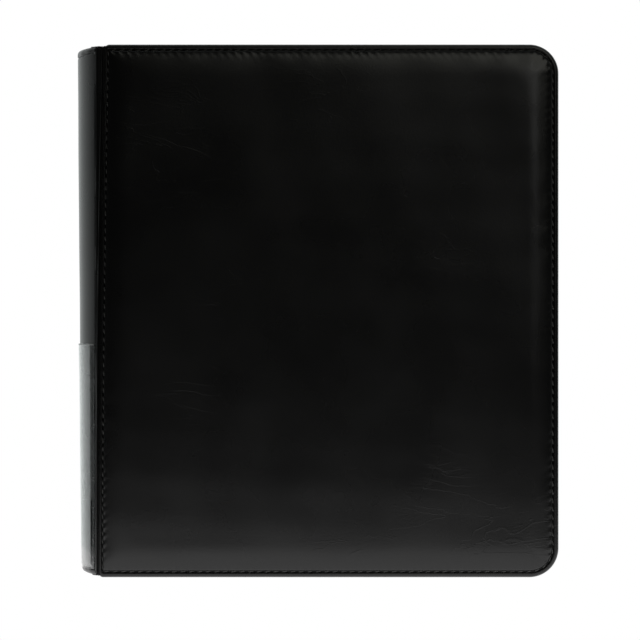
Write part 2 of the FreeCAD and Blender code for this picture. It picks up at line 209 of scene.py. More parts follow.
def rounded_plan(xs, zs, hinge_in, all_in, hinge_r, fore_r):
    """x, z and inset of a panel's grid points, measured from its lower hinge-side corner."""
    nx, nz = len(xs), len(zs)
    i, j = np.meshgrid(np.arange(nx), np.arange(nz), indexing="ij")
    ring = np.minimum(np.minimum(i, nx - 1 - i), np.minimum(j, nz - 1 - j))
    ring = np.minimum(ring, len(all_in) - 1)
    b, a = all_in[ring], hinge_in[ring]
    x, z = xs[i].copy(), zs[j].copy()
    length, tall = xs[-1], zs[-1]
    for side_x, side_z in ((0, 0), (0, 1), (1, 0), (1, 1)):
        inset_x = b if side_x else a
        radius = np.maximum((fore_r if side_x else hinge_r) - inset_x, 0)
        u = (length - x if side_x else x) - inset_x
        v = (tall - z if side_z else z) - b
        near = (u < radius) & (v < radius)
        on_z_side = v <= 1e-9
        along_u, across_v = bend_corner(u, 0 * u, radius)
        along_v, across_u = bend_corner(v, 0 * v, radius)
        u2 = np.where(on_z_side, along_u, across_u)
        v2 = np.where(on_z_side, across_v, along_v)
        x = np.where(near, (length - u2 - inset_x) if side_x else u2 + inset_x, x)
        z = np.where(near, (tall - v2 - b) if side_z else v2 + b, z)
    inset_x = np.minimum(np.interp(xs[i], hinge_in, all_in), length - xs[i])
    inset_z = np.minimum(zs[j], tall - zs[j])
    return x, z, inset_x, inset_z


plan_x, plan_z, plan_in_x, plan_in_z = rounded_plan(lines_x, lines_z, hinge_insets, insets,
                                                    CORNER_HINGE, CORNER_FORE)
plan_x = plan_x + edge_x
plan_inset = np.minimum(plan_in_x, plan_in_z)

# %% [markdown]
# ## Seam
# The thread runs round the cover on one closed path, a few millimetres in. The same path places the
# stitches and the puckers that they pull into the skin, so the two always agree.

# %% Seam path
seam_left, seam_right = edge_x + SEAM_HINGE, fore_x - SEAM
seam_foot, seam_top = SEAM, height - SEAM
seam_r = CORNER_FORE - SEAM
run_x = seam_right - seam_r - seam_left
run_z = seam_top - seam_foot - 2 * seam_r
arc = seam_r * np.pi / 2
hinge_run = seam_top - seam_foot
seam_length = 2 * run_x + run_z + 2 * arc + hinge_run
STITCH_WANTED = 4.6           # from stitch to stitch, before it is rounded to fit the whole seam
STITCH_PITCH = seam_length / round(seam_length / STITCH_WANTED)
print("seam %.0f mm long" % seam_length)


def seam_point(s):
    """Place and direction on the seam at distance s from its lower hinge-side corner.

    The path is: foot, fore-edge corner arc, fore edge, corner arc, top, and the hinge side."""
    s = np.mod(s, seam_length)
    ends = np.cumsum([run_x, arc, run_z, arc, run_x])
    part = np.searchsorted(ends, s, side="right")
    t = s - np.concatenate([[0], ends])[part]
    angle = t / seam_r
    cx = seam_right - seam_r
    x = np.choose(part, [seam_left + t, cx + seam_r * np.sin(angle), seam_right + 0 * t,
                         cx + seam_r * np.cos(angle), cx - t, seam_left + 0 * t])
    z = np.choose(part, [seam_foot + 0 * t, seam_foot + seam_r - seam_r * np.cos(angle),
                         seam_foot + seam_r + t, seam_top - seam_r + seam_r * np.sin(angle),
                         seam_top + 0 * t, seam_top - t])
    turn = np.choose(part, [0 * t, angle, np.pi / 2 + 0 * t, np.pi / 2 + angle, np.pi + 0 * t,
                            1.5 * np.pi + 0 * t])
    return x, z, np.cos(turn), np.sin(turn)


def seam_distance(x, z):
    """Distance along the seam of the seam point nearest to x, z."""
    cx = seam_right - seam_r
    low, high = seam_foot + seam_r, seam_top - seam_r
    ends = np.cumsum([run_x, arc, run_z, arc, run_x])
    corner_low = (x > cx) & (z < low)
    corner_high = (x > cx) & (z > high)
    angle_low = np.arctan2(x - cx, low - z)
    angle_high = np.arctan2(z - high, x - cx)
    gaps = np.stack([z - seam_foot, seam_right - x, seam_top - z, x - seam_left])
    side = np.abs(gaps).argmin(0)
    straight = np.choose(side, [x - seam_left, ends[1] + z - low, ends[3] + cx - x,
                                ends[4] + seam_top - z])
    return np.select([corner_low, corner_high], [run_x + angle_low * seam_r, ends[2] + angle_high * seam_r],
                     straight)


def lean(z):
    """Shift of the hinge-side edge at a height: a power curve from the foot's value to the top's."""
    return LEAN_FOOT + (LEAN_TOP - LEAN_FOOT) * np.clip(z / height, 0, 1) ** LEAN_POWER


def leaned_x(x, z):
    """x moved by the lean, in full at the hinge side and not at all at the fore edge."""
    share = (fore_x - x) / (fore_x - edge_x)
    return x + lean(z) * np.clip(share, 0, 1.05) ** 2


# %% [markdown]
# ## Puff of the padding
# The skin is pulled down to the board at the seam and stands on the foam inside it. From the seam it
# rises steeply and rounds over, like the edge of a pillow, within about a centimetre. That profile
# depends only on the distance from the edge, and the seam's puckers are added to it.

# %% Height of the skin over a cover
GROOVE = 0.75
SHOULDER_START = 3.45
SHOULDER_WIDTH = 13.5
PUFF = full - rim - 0.3
STITCH_PULL = 0.30
LIP = 0.26                    # small roll of skin that each stitch leaves beside the seam
EDGE_ROUND = 1.9
CROWN = 0.18                  # of the rim between the edge and the seam
SHOULDER_POWER = 2.1
CORNER_POWER = 2.5            # higher keeps the two shoulders apart further into a corner


def soft_corner(in_x, in_z):
    """Inset from the shoulder's start that rounds off where two sides meet.

    It is the inverse of the root of the sum of inverse powers, which is smooth on the diagonal."""
    e_x = np.maximum(in_x - SHOULDER_START, 1e-3)
    e_z = np.maximum(in_z - SHOULDER_START, 1e-3)
    return (e_x ** -CORNER_POWER + e_z ** -CORNER_POWER) ** (-1 / CORNER_POWER)


def profile_depth(in_x, in_z):
    """Depth of the skin: rounded edge, rim with a slight crown, groove, and an elliptical shoulder."""
    d = np.minimum(in_x, in_z)
    roll = EDGE_ROUND - np.sqrt(np.maximum(EDGE_ROUND ** 2 - np.maximum(EDGE_ROUND - d, 0) ** 2, 0))
    crown = CROWN * np.sin(np.pi * np.clip(d / SEAM, 0, 1))
    groove = -GROOVE * np.exp(-((d - SEAM + 0.25) / 0.5) ** 2)
    t = np.clip(soft_corner(in_x, in_z) / SHOULDER_WIDTH, 0, 1)
    puff = PUFF * np.sqrt(1 - (1 - t) ** SHOULDER_POWER)
    return rim - roll + crown + groove + puff


def pucker(x, z, d):
    """Pull of each stitch on the skin: short ripples across the seam that die out on the shoulder, and
    a small lip right beside the seam."""
    s = seam_distance(x, z)
    phase = 2 * np.pi * s / STITCH_PITCH
    uneven = 0.7 + 0.3 * np.sin(s / 23.0) * np.sin(s / 7.1 + 1.3)
    near = np.exp(-np.abs(d - SEAM - 0.8) / 1.3) * smoothstep((d - SEAM + 0.6) / 1.0)
    wide = np.exp(-((d - 7.0) / 3.5) ** 2)
    ripple = STITCH_PULL * near * np.cos(phase + 0.9 * (d - SEAM))
    gather = 0.07 * wide * np.sin(s / 3.1 + 2 * np.sin(s / 17.0)) * np.sin(s / 41.0 + 0.5)
    lip = LIP * np.exp(-((d - SEAM - 0.85) / 0.55) ** 2) * (0.75 + 0.25 * np.cos(phase + 0.9 * (d - SEAM)))
    return uneven * (ripple + lip) + gather


print("padding rises %.1f mm above the rim" % PUFF)

# %% [markdown]
# ## Cloth simulation
# A padded cover's skin is pulled over its foam and sewn down tight. The profile above makes the padded
# shape. Blender's cloth solver then settles the field inside the seam, and with the skin this taut it
# moves by less than a tenth of a millimetre, so it hardly shows. With five times the spare size it
# moves half a millimetre and covers the skin in fine wrinkles, which the real cover doesn't have.
# The field is pinned along its rim and held loosely elsewhere; what its points moved is capped,
# read off for the finer grid, and added to the profile.

# %% Simulate the field of a cover
SIM_STEP = 2.6
SIM_FRAMES = 20
MOVE_CAP = 0.8
HELD_WIDTH = 2.5              # of the band inside the seam that is pinned
FIELD_HOLD = 0.35             # how firmly the rest is held in place, from 0 to 1
SPARE_SIZE = 0.0004           # share by which the skin is larger than the board
PRESSURE = -1.2


def sim_grid():
    """Plan of the simulated field: even lines inside the seam, corners left square."""
    nx = int((seam_right - seam_left) / SIM_STEP)
    nz = int((seam_top - seam_foot) / SIM_STEP)
    gx = np.linspace(seam_left, seam_right, nx)
    gz = np.linspace(seam_foot, seam_top, nz)
    return gx, gz


def settle_field():
    """Movement of the field's points under pressure, as an array over the simulated grid."""
    gx, gz = sim_grid()
    x, z = np.meshgrid(gx, gz, indexing="ij")
    in_x = np.minimum(x - edge_x + SEAM - SEAM_HINGE, fore_x - x)
    in_z = np.minimum(z, height - z)
    d = np.minimum(in_x, in_z)
    y = inner_y - profile_depth(in_x, in_z)
    points = np.stack([x, y, z], -1).reshape(-1, 3)
    pad = add_mesh("settling_field", points, grid_faces(len(gx), len(gz)))
    group = pad.vertex_groups.new(name="held")
    rim_points = np.flatnonzero((d <= SEAM + HELD_WIDTH).ravel())
    group.add(rim_points.tolist(), 1.0, "REPLACE")
    field_points = np.flatnonzero((d > SEAM + HELD_WIDTH).ravel())
    group.add(field_points.tolist(), FIELD_HOLD, "REPLACE")
    cloth = pad.modifiers.new("cloth", "CLOTH")
    settings = cloth.settings
    settings.quality = 6
    settings.mass = 0.25
    settings.tension_stiffness = settings.compression_stiffness = 18
    settings.shear_stiffness = 8
    settings.bending_stiffness = 12.0
    settings.vertex_group_mass = "held"
    settings.pin_stiffness = 0.6
    settings.shrink_min = -SPARE_SIZE
    settings.use_pressure = True
    settings.uniform_pressure_force = PRESSURE
    settings.effector_weights.gravity = 0
    scene = bpy.context.scene
    for step in range(1, SIM_FRAMES + 1):
        scene.frame_set(step)
    settled = pad.evaluated_get(bpy.context.evaluated_depsgraph_get())
    after = np.empty(len(points) * 3)
    settled.data.vertices.foreach_get("co", after)
    move = (after.reshape(-1, 3) / MM - points).reshape(len(gx), len(gz), 3)
    bpy.data.objects.remove(pad)
    scene.frame_set(1)
    size = np.linalg.norm(move, axis=-1, keepdims=True)
    return move * np.minimum(1, MOVE_CAP / np.maximum(size, 1e-9))


def spread(table, gx, gz, x, z):
    """Values of a grid table at other points, bilinear between its lines."""
    u = np.clip((x - gx[0]) / (gx[1] - gx[0]), 0, len(gx) - 1.001)
    v = np.clip((z - gz[0]) / (gz[1] - gz[0]), 0, len(gz) - 1.001)
    i, j = u.astype(int), v.astype(int)
    fu, fv = (u - i)[..., None], (v - j)[..., None]
    near = table[i, j] * (1 - fv) + table[i, j + 1] * fv
    far = table[i + 1, j] * (1 - fv) + table[i + 1, j + 1] * fv
    return near * (1 - fu) + far * fu


gx, gz = sim_grid()
field_move = settle_field()
print("field moved at most %.2f mm, %.2f mm outward in the middle"
      % (np.linalg.norm(field_move, axis=-1).max(), -field_move[len(gx) // 2, len(gz) // 2, 1]))

# %% [markdown]
# ## Padded cover skin
# The piece is one closed form: the outer surface, the wrap round the edge of the board, the skin
# turned in on the back, and the face against the board. It stands for the model's plain skin and
# foam. The rear cover is the same form mirrored, with the simulated field turned end for end so that
# the two covers don't share their wrinkles.

# %% Build the two padded skins
TURN_IN = 14.0
UNEVEN = 0.10                 # height of the foam's own long waves


def soft_relief(x, z, seed):
    """Very shallow unevenness of foam under skin: a few long waves in fixed random directions."""
    rng = np.random.default_rng(seed)
    relief = np.zeros_like(x)
    for wave in (90.0, 60.0, 38.0, 24.0):
        angle, phase = rng.uniform(0, np.pi), rng.uniform(0, 2 * np.pi)
        along = x * np.cos(angle) + z * np.sin(angle)
        relief += wave / 90.0 * np.sin(2 * np.pi * along / wave + phase)
    return relief


def cover_skin(name, side, move, seed):
    """Closed padded skin. side is -1 for the front cover and +1 for the rear."""
    x, z, d = plan_x, plan_z, plan_inset
    inside = smoothstep((d - SEAM) / 8.0)
    outward = (profile_depth(plan_in_x, plan_in_z) + pucker(x, z, d)
               + UNEVEN * inside * soft_relief(x, z, seed))
    shift = spread(move, gx, gz, x, z) * inside[..., None]
    y = inner_y - outward + shift[..., 1]
    x = x + shift[..., 0]
    z = z + shift[..., 2]
    top = np.stack([x, y, z], -1).reshape(-1, 3)
    rows, columns = plan_x.shape
    loop = boundary(rows, columns)
    px, pz = plan_x.ravel()[loop], plan_z.ravel()[loop]
    middle = np.array([(edge_x + fore_x) / 2, height / 2])
    rings = []
    below = rim - EDGE_ROUND
    for inset, depth in ((0, below - 0.9), (0.12, lining_t + 0.55), (0.5, lining_t + 0.12), (1.0, lining_t),
                         (TURN_IN, lining_t), (TURN_IN, board_in), (skin_t, board_in), (skin_t, board_out)):
        half = np.array([fore_x - edge_x, height]) / 2
        scale = (half - inset) / half
        ring = np.stack([middle[0] + (px - middle[0]) * scale[0], np.full(len(px), inner_y - depth),
                         middle[1] + (pz - middle[1]) * scale[1]], -1)
        rings.append(ring)
    points = np.concatenate([top] + rings)
    p = len(loop)
    faces = [grid_faces(rows, columns)[:, ::-1]]
    first = rows * columns
    below_loop = first + np.arange(p)
    joints = np.stack([loop, np.roll(loop, -1), np.roll(below_loop, -1), below_loop], -1)
    faces.append(joints[:, ::-1])
    faces.append(grid_faces(len(rings), p, wrap=True, start=first)[:, ::-1])
    cap = (first + (len(rings) - 1) * p + np.arange(p))[::-1]
    points[:, 0] = leaned_x(points[:, 0], points[:, 2])
    points[:, 1] *= -side
    return add_mesh(name, points, np.concatenate(faces), caps=[cap.tolist()], solid=True)


turned_field = field_move[:, ::-1] * np.array([1, 1, -1])
for word, side, move, seed in (("front", -1, field_move, 3), ("rear", 1, turned_field, 8)):
    skin = cover_skin(word + "_cover_padded_skin", side, move, seed)
    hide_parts(word + "_skin", word + "_foam_pad")
    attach(skin, word + "_cover")
    print(word, "skin faces:", len(skin.data.polygons))

# %% [markdown]
# ## Stitches
# Each stitch is a short dash of thread that dives into the skin at both ends and lies slightly
# slanted across the seam. Hundreds of them are made as one array: stations along the dash, a ring of
# points round the thread, and one row per stitch.

# %% Sew the covers
THREAD_R = 0.38
STITCH_SHARE = 0.72           # of the pitch that shows as thread
SLANT = 0.30


def stitch_row(depth, sign):
    """Points and faces of all stitches of one cover side at the given depth of their middle.

    Along the dash t runs from -1 to 1. The centre slants by SLANT times t across the seam and dives
    by the fourth power of t, and the thread narrows a little at its ends."""
    count = int(round(seam_length / STITCH_PITCH))
    t = np.linspace(-1, 1, 7)
    angle = np.linspace(0, 2 * np.pi, 6, endpoint=False)
    k = np.arange(count)
    k, t, angle = np.meshgrid(k, t, angle, indexing="ij")
    s = (k + 0.5) * STITCH_PITCH + t * STITCH_PITCH * STITCH_SHARE / 2
    x, z, dx, dz = seam_point(s)
    radius = THREAD_R * (1 - 0.35 * t ** 4)
    across = SLANT * t + radius * np.cos(angle)
    high = radius * np.sin(angle) - 0.8 * t ** 4
    x, z = x - dz * across, z + dx * across
    points = np.stack([leaned_x(x, z), inner_y - depth - sign * high, z], -1).reshape(-1, 3)
    one = grid_faces(7, 6, wrap=True)
    ends = np.array([[0, 1, 2, 3], [0, 3, 4, 5], [36, 39, 38, 37], [36, 41, 40, 39]])
    one = np.concatenate([one, ends])
    return points, (one[None] + np.arange(count)[:, None, None] * 42).reshape(-1, 4)


def sew(name, side):
    """Stitches on the outside of a cover and, smaller in depth, on its lining."""
    outside, faces = stitch_row(rim - 0.10, 1)
    inside, more = stitch_row(-0.02, -1)
    points = np.concatenate([outside, inside])
    faces = np.concatenate([faces, more[:, ::-1] + len(outside)])
    points[:, 1] *= -side
    return add_mesh(name, points, faces, solid=True)


for word, side in (("front", -1), ("rear", 1)):
    thread = sew(word + "_cover_stitches", side)
    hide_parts(word + "_stitching")
    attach(thread, word + "_cover")
print("stitches on a cover:", int(round(seam_length / STITCH_PITCH)), "at %.2f mm" % STITCH_PITCH)

# %% [markdown]
# ## Spine
# The spine is a board bent to an arc, with thin foam and the leatherette over it. Its skin is folded
# over the board at both ends, which leaves a slack crease a few millimetres in. All of its layers are
# written as places on one curved surface: an angle round the spine, a height, and a *lift* off the
# skin. Because the surface swells a little more at the top, every layer swells with it.

# %% Curved surface of the spine
reach_x, reach_y = fold[0] - spine_low[0], abs(fold[1])
skin_r = (reach_y ** 2 + (reach_x - skin_t / 2) ** 2) / (2 * (reach_x - skin_t / 2)) + skin_t / 2
spine_x = spine_low[0] + skin_r
half_angle = np.arcsin(reach_y / (skin_r - skin_t / 2))
SPINE_FOAM = 2.5
SPINE_BOARD = 2.0
print("spine radius %.2f mm, half angle %.1f degrees" % (skin_r, np.degrees(half_angle)))


def spine_place(angle, z, lift):
    """Point on the spine: an arc about its centre, swollen by the cosine of the angle."""
    share = (np.cos(angle) - np.cos(half_angle)) / (1 - np.cos(half_angle))
    swell = (0.9 - 2.6 * (1 - z / height) ** 1.3) * np.clip(share, 0, 1)
    r = skin_r + lift
    return np.stack([spine_x - r * np.cos(angle) - swell, r * np.sin(angle), z + 0 * angle], -1)


def arc_mm(gap):
    """Angle that ends a layer the given distance along the arc from the fold line."""
    return half_angle - gap / skin_r


# %% [markdown]
# The skin's section, up the height, is an outer line and an inner line. Near each end the outer line
# rounds over and returns inside the board, so the board never shows. The crease of the turned end is
# a narrow valley that bows toward the middle of the spine, as slack leatherette does.

# %% Build the spine skin and its board
spine_foot, spine_head = spine_low[2], spine_high[2]
END_ROUND = 2.0
END_BOW = 1.4                 # the ends sit lower at the middle of the spine than beside the covers


def end_ramp(z):
    """Drop of the outer surface near the ends: a quarter circle of radius END_ROUND."""
    near = np.clip(END_ROUND - np.minimum(z - spine_foot, spine_head - z), 0, END_ROUND)
    return END_ROUND - np.sqrt(np.maximum(END_ROUND ** 2 - near ** 2, 0))


def hem_crease(angle, z):
    """Valley of the turned-in end, further in at the middle of the spine than at its sides."""
    bow = 1.5 * np.cos(angle * np.pi / 2 / half_angle)
    near = np.minimum(z - spine_foot, spine_head - z)
    wave = 0.22 * np.sin(angle * 19 + z * 0.03) + 0.12 * np.sin(angle * 43 + 1.0)
    valley = -0.75 * np.exp(-((near - 3.4 - bow * 0.5 - wave) / 0.32) ** 2)
    puff = 0.16 * np.exp(-((near - 2.0 - bow * 0.6) / 1.1) ** 2) * (1 + 0.5 * np.sin(angle * 31))
    return valley + puff


def spine_skin_piece():
    """Thick sheet bent over the board: outer grid, and an inner grid a skin's thickness under it."""
    angles = np.linspace(-arc_mm(0.7), arc_mm(0.7), 75)
    end_z = np.concatenate([[0, .12, .4, .8, 1.3, 1.8, 2.3], np.arange(2.6, 7.0, 0.2), [7.5, 8.5]])
    outer_z = np.concatenate([spine_foot + end_z, np.linspace(11, height - 11, 150),
                              spine_head - end_z[::-1]])
    a, z = np.meshgrid(angles, outer_z, indexing="ij")
    relief = 0.05 * np.sin(z / 11.0 + 3 * a) * np.sin(z / 37.0 + 1.0)
    lift = -end_ramp(z) + hem_crease(a, z) + relief
    share = (np.cos(a) - np.cos(half_angle)) / (1 - np.cos(half_angle))
    bowed = height / 2 + (z - height / 2) * (1 - END_BOW * share / (height / 2))
    outer = spine_place(a, bowed, lift)
    inner_lift = -skin_t - SPINE_FOAM + 0.05
    turned = -skin_t - SPINE_FOAM - SPINE_BOARD - 0.6
    near = np.minimum(z - spine_foot, spine_head - z)
    hem = np.where(near < 0.3, turned, inner_lift)
    inner = spine_place(a, bowed, hem)
    return shell("spine_padded_skin", outer, inner)


spine_skin = spine_skin_piece()
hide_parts("spine_skin", "spine_foam_pad")
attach(spine_skin, "spine")


def spine_layer(name, gap, z0, z1, lift_out, lift_in, rows=41):
    """Plain curved layer between two lifts, ending short of the fold lines by the gap."""
    a, z = np.meshgrid(np.linspace(-arc_mm(gap), arc_mm(gap), rows), np.linspace(z0, z1, 30),
                       indexing="ij")
    piece = shell(name, spine_place(a, z, lift_out), spine_place(a, z, lift_in))
    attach(piece, "spine")
    return piece


board_lift = -skin_t - SPINE_FOAM
spine_board = spine_layer("spine_chipboard", 6.0, 4.0, height - 4.0, board_lift, board_lift - SPINE_BOARD)
spine_lining = spine_layer("spine_lining_sheet", 4.0, 5.0, height - 5.0, board_lift - SPINE_BOARD,
                           board_lift - SPINE_BOARD - lining_t)
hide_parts("spine_board")
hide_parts("spine_lining")
print("spine skin faces:", len(spine_skin.data.polygons))

# %% [markdown]
# ## Label pocket
# A clear film is welded to the lower spine at its sides and foot and open at the top. Light finds
# two things there: the film's edge, and the smoother face of the film over the grain. The edge's
# bright line is painted: its sealed bead is pale grey, partly frosted seal and partly painted
# highlight. A blank dark card stands in the pocket.

# %% Build the film and card
film_low, film_high = box_mm("spine_label_pocket")
card_low, card_high = box_mm("spine_label_card")
FILM = 0.25
WELD = 2.5
FILM_GAP = 2.0
FILM_RISE = 2.4               # from the side weld to where the film stands free
FILM_OFF = 0.3                # how far it stands off in the middle
FILM_OFF_SIDES = 1.0          # and how much more at the sides
FILM_LINES = 81
HEM_SIDES = 10
film_angles = arc_mm(FILM_GAP) * np.sin(np.linspace(-np.pi / 2, np.pi / 2, FILM_LINES))


def film_lift(a, z):
    """Lift of the film's back: nothing at the welds, and between them it stands off most at the sides,
    with a slack mouth at the top and a faint ripple."""
    u = np.abs(a) / arc_mm(FILM_GAP)
    side = (1 - u) * arc_mm(FILM_GAP) * skin_r
    inside = smoothstep(side / FILM_RISE) * smoothstep((z - film_low[2] - WELD * 0.5) / 1.5)
    mouth = 0.2 * smoothstep((z - film_high[2] + 22) / 22) * (1 - u ** 2)
    ripple = 0.03 * np.sin(z / 6.5 + 2.2 * np.sin(a * 4)) * np.sin(z / 17.0 + a * 3)
    return 0.03 + inside * (FILM_OFF + FILM_OFF_SIDES * u ** 2 + mouth + ripple)


def film_piece():
    """Film a quarter of a millimetre thick on the lift above."""
    a, z = np.meshgrid(film_angles, np.linspace(film_low[2], film_high[2], 120), indexing="ij")
    lift = film_lift(a, z)
    return shell("label_pocket_film", spine_place(a, z, lift + FILM), spine_place(a, z, lift))


film = film_piece()


def film_hem():
    """Bead along the film's open edge, where it was cut and sealed: a small ellipse swept round. Its pale
    grey finish is partly frosted seal and partly a painted highlight.
    """
    a, turn = np.meshgrid(film_angles, np.linspace(0, 2 * np.pi, HEM_SIDES, endpoint=False),
                          indexing="ij")
    lift = film_lift(a, film_high[2]) + FILM / 2
    ring = spine_place(a, film_high[2] - 0.45 + 0.45 * np.sin(turn), lift + 0.24 * np.cos(turn))
    faces = grid_faces(FILM_LINES, HEM_SIDES, wrap=True)
    last = (FILM_LINES - 1) * HEM_SIDES
    ends = [list(range(HEM_SIDES)), list(range(last, last + HEM_SIDES))[::-1]]
    return add_mesh("label_pocket_sealed_edge", ring.reshape(-1, 3), faces, caps=ends, solid=True)


hem = film_hem()
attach(hem, "spine")
side_gap = FILM_GAP + WELD + 0.6
card = spine_layer("blank_label_card", side_gap, card_low[2], card_high[2], 0.31, 0.05)
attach(film, "spine")
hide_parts("spine_label_pocket")
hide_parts("spine_label_card")

# %% [markdown]
# ## Hinge folds
# Between a cover and the spine the leatherette has nothing behind it but the lining, and it is the
# hinge. It is a strip that leaves the cover's edge, bends at the fold line and runs on under the
# spine's skin. When a cover opens, the strip has to bend; here it is built at rest and attached to
# neither body.

# %% Build the two folds
FOLD_T = 1.3
TUCK = 4.0
RIDGE = 0.22                  # the leatherette stands up a little where it turns to the cover
VALLEY = 0.9


def fold_strip(name, side):
    """Strip across a fold line. Its outer line follows the spine's skin, rises in a small ridge, drops
    in a valley at the cover's edge and runs on inside the cover; the inner line is that one moved in."""
    z_lines = np.linspace(spine_foot + 0.3, spine_head - 0.3, 170)
    z, angle = np.meshgrid(z_lines, np.linspace(arc_mm(5.2), half_angle, 20), indexing="ij")
    on_spine = spine_place(angle, z, -0.02 - 0.5 * smoothstep((half_angle - angle - 1.2 / skin_r) * skin_r))
    z_far, t = np.meshgrid(z_lines, np.linspace(0, 1, 62)[1:], indexing="ij")
    edge = edge_x + lean(z_far)
    at_fold = on_spine[:, -1:, :]
    x_far = at_fold[..., 0] + t * (edge + TUCK - at_fold[..., 0])
    y_far = at_fold[..., 1] + 0.30 * (1 - np.exp(-(x_far - at_fold[..., 0]) / 0.35))
    x = np.concatenate([on_spine[..., 0], x_far], 1)
    y = np.concatenate([on_spine[..., 1], y_far], 1)
    z = np.repeat(z_lines[:, None], x.shape[1], 1)
    from_edge = x - edge_x - lean(z)
    uneven = 1 + 0.25 * np.sin(z / 7.0) * np.sin(z / 19.0 + 2)
    ridge = (RIDGE + 0.85 * (z / height) ** 2) * uneven * np.exp(-((from_edge + 1.35) / 0.36) ** 2)
    valley = VALLEY * np.exp(-((from_edge + 0.25) / 0.45) ** 2)
    inside = 0.8 * smoothstep((from_edge - 0.3) / 0.8)
    y = y + ridge - valley - inside
    way = np.gradient(np.stack([x, y], -1), axis=1)
    way /= np.maximum(np.linalg.norm(way, axis=-1, keepdims=True), 1e-9)
    deep = FOLD_T - valley * 0.6 - inside * 0.5
    outer = np.stack([x, side * y, z], -1)
    inner = np.stack([x + way[..., 1] * deep * 0.6, side * (y - deep), z], -1)
    laid_flat = np.linalg.norm(np.diff(outer, axis=1), axis=-1).sum(1).mean()
    return shell(name, outer, inner), (laid_flat * MM, (z_lines[-1] - z_lines[0]) * MM)


for word, side in (("front", -1), ("rear", 1)):
    piece, flat = fold_strip(word + "_hinge_fold", side)
    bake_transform(piece)
    print(word, "fold:", len(piece.data.polygons), "faces,",
          "%.1f by %.1f mm laid flat" % (flat[0] / MM, flat[1] / MM))

# %% [markdown]
# ## Linings and inside pockets
# Inside, each board has a lining panel that hides the turned-in skin, and a pocket of the same
# sheet, welded on three sides and open at the top. The panel is the cover's rounded plan again, with
# a softened edge. The pocket is a thin sheet that lies flat at its welds and stands off between them.

# %% Build the lining panels and pockets
def lining_panel(name, node, side):
    """Panel with its edge rounded over a millimetre, and a shallow groove along the seam."""
    low, high = box_mm(node)
    edge_in = np.array([0, .3, .6, 1.0, 1.5, 2.2, 3.5, 6.0])
    xs = grid_lines(high[0] - low[0], edge_in, edge_in, 6.0)
    zs = grid_lines(high[2] - low[2], edge_in, edge_in, 6.0)
    x, z, in_x, in_z = rounded_plan(xs, zs, edge_in, edge_in, 1.0, CORNER_FORE - low[2])
    x, z, d = x + low[0], z + low[2], np.minimum(in_x, in_z)
    drop = 0.45 * (1 - smoothstep(d / 0.9)) + 0.12 * np.exp(-((d - 1.0) / 0.35) ** 2)
    face = inner_y - drop
    back = inner_y - board_in + 0 * drop
    outer = np.stack([leaned_x(x, z), -side * face, z], -1)
    inner = np.stack([leaned_x(x, z), -side * back, z], -1)
    return shell(name, outer, inner)


def inside_pocket(name, node, side):
    """Thin sheet: flat welded borders, a raised belly that grows toward the open top, and a hem."""
    low, high = box_mm(node)
    us = np.concatenate([[0, .5, 1, 1.5, 2, 2.5, 3], np.linspace(6, high[0] - low[0] - 6, 50),
                         high[0] - low[0] - np.array([3, 2.5, 2, 1.5, 1, .5, 0])])
    vs = np.concatenate([[0, .5, 1, 1.5, 2, 2.5, 3], np.linspace(6, high[2] - low[2] - 14, 40),
                         high[2] - low[2] - np.array([12.6, 12, 11.4, 10, 6, 3, 1.5, .8, 0])])
    u, v = np.meshgrid(us, vs, indexing="ij")
    wide, tall = high[0] - low[0], high[2] - low[2]
    border = np.minimum(np.minimum(u, wide - u), v)
    free = smoothstep((border - 2.2) / 6.0)
    belly = 0.28 * np.sin(np.pi * u / wide) * (0.25 + 0.75 * (v / tall) ** 2) * free
    rib = 0.10 * np.exp(-((border - 1.6) / 0.4) ** 2)
    hem = 0.12 * smoothstep((v - tall + 12.3) / 0.5)
    out = 0.03 + belly + rib + hem
    x, z = u + low[0], v + low[2]
    thick = 0.27
    outer = np.stack([leaned_x(x, z), -side * (inner_y + out + thick), z], -1)
    inner = np.stack([leaned_x(x, z), -side * (inner_y + 0.03 + belly), z], -1)
    return shell(name, outer, inner)


for word, side, body in (("front", -1, "front_cover"), ("rear", 1, "rear_cover")):
    panel = lining_panel(word + "_lining_panel", word + "_lining", side)
    pocket = inside_pocket(word + "_inside_pocket", word + "_pocket", side)
    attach(panel, body)
    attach(pocket, body)
    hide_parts(word + "_lining")
    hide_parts(word + "_pocket")

# %% [markdown]
# ## Finishes
# A material is a small network of nodes. The helper below makes the usual one: a principled surface
# whose colour, roughness and bump each come from a texture on Object coordinates, which are the
# model's own metres, so a scale of 1000 means features about a millimetre apart.

# %% Material helpers
def start_material(name):
    """Empty node material with its surface shader; returns the material, its nodes and its links."""
    material = bpy.data.materials.new(name)
    material.use_nodes = True
    nodes = material.node_tree.nodes
    return material, nodes, material.node_tree.links, nodes["Principled BSDF"]


def texture(nodes, links, kind, scale, **sockets):
    """Texture node on Object coordinates."""
    place = nodes.new("ShaderNodeTexCoord")
    node = nodes.new(kind)
    node.inputs["Scale"].default_value = scale
    for socket, value in sockets.items():
        node.inputs[socket].default_value = value
    links.new(place.outputs["Object"], node.inputs["Vector"])
    return node


def ramp(nodes, links, source, low, high, start=0.0, end=1.0):
    """Map a 0 to 1 value onto a range, between start and end."""
    node = nodes.new("ShaderNodeMapRange")
    node.inputs["From Min"].default_value = start
    node.inputs["From Max"].default_value = end
    node.inputs["To Min"].default_value = low
    node.inputs["To Max"].default_value = high
    links.new(source, node.inputs["Value"])
    return node.outputs["Result"]


def tint(nodes, links, source, dark, light):
    """Blend of two colours by a 0 to 1 value."""
    node = nodes.new("ShaderNodeMix")
    node.data_type = "RGBA"
    node.inputs[6].default_value = (*dark, 1)
    node.inputs[7].default_value = (*light, 1)
    links.new(source, node.inputs[0])
    return node.outputs[2]


